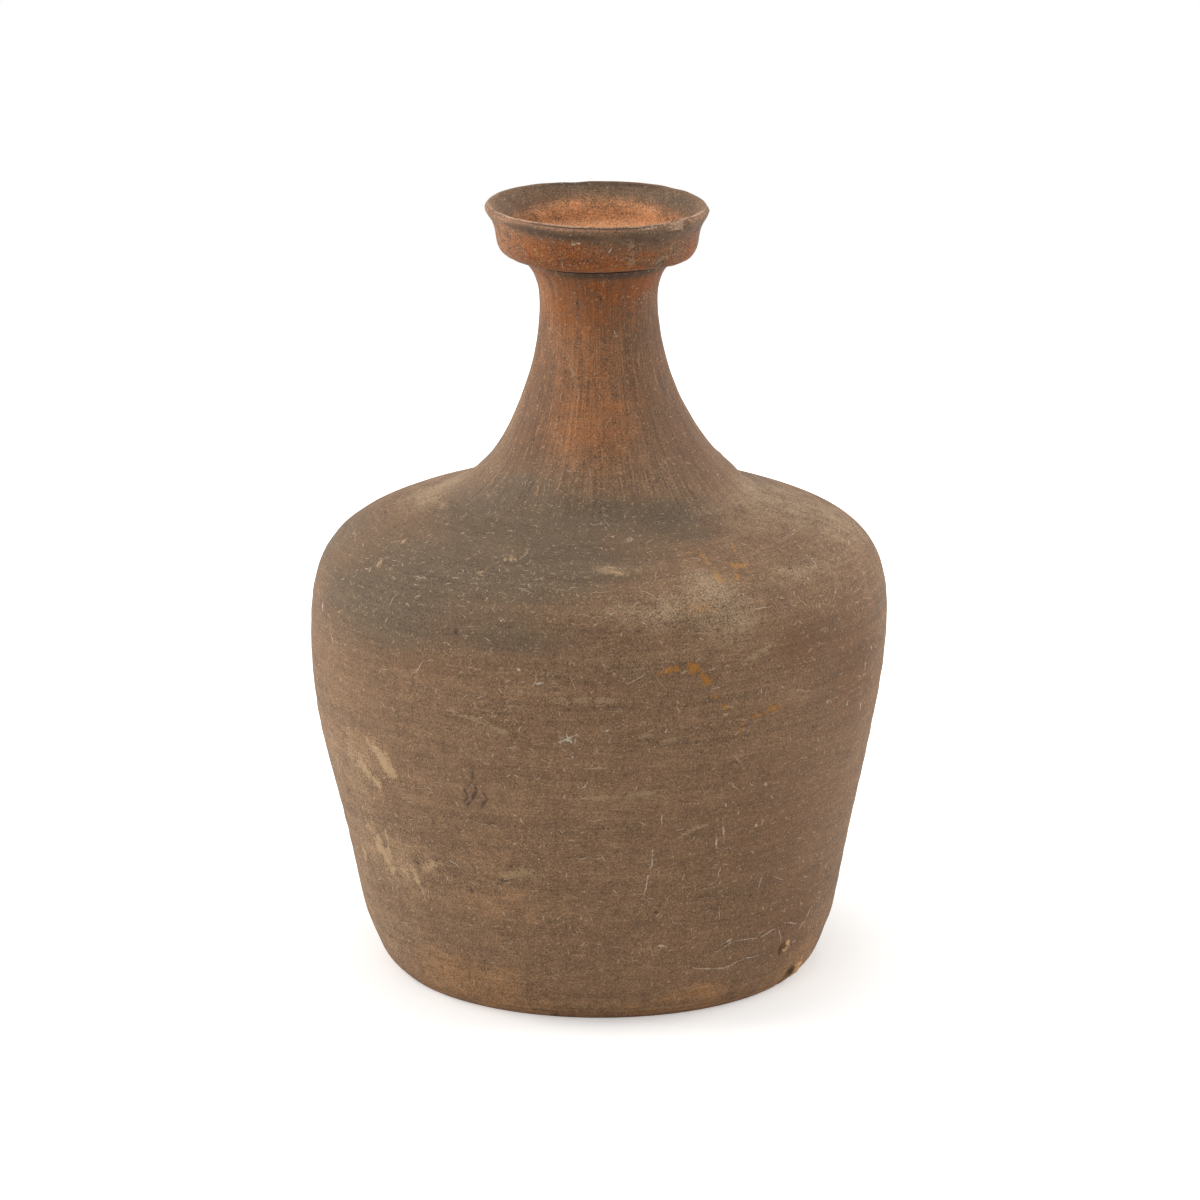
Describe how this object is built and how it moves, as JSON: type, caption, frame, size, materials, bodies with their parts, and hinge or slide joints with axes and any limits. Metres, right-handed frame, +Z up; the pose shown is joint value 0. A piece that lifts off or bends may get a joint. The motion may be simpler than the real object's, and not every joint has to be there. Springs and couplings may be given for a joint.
{
  "type": "wine jug",
  "caption": "Unglazed earthenware wine jug with a flat base, leaning wall, sloping shoulder, narrow flaring neck and dish-shaped mouth, for storing and pouring wine.",
  "frame": {"origin": "centre of the base's underside, on the jug's axis", "axes": "+Z up along the jug's axis; X and Y are alike, and the picture looks along +Y"},
  "size_m": [0.2968, 0.2968, 0.4005],
  "materials": {
    "fired_clay": "matt unglazed brown earthenware, wiped on the wheel, with grit, scrapes and scratches",
    "smoked_clay": "matt unglazed earthenware, grey-brown from wood smoke, with tan patches",
    "orange_clay": "matt unglazed orange-brown earthenware, stroked smooth, sooty at the lip",
    "slip": "matt dark fired slip in the luted joints"
  },
  "bodies": {
    "root": {"base_disc": "fired_clay", "base_slip": "slip", "body_wall": "fired_clay", "belly_slip": "slip", "shoulder": "smoked_clay", "neck_slip": "slip", "neck": "orange_clay", "cup_slip": "slip", "mouth_cup": "orange_clay"}
  },
  "joints": []
}
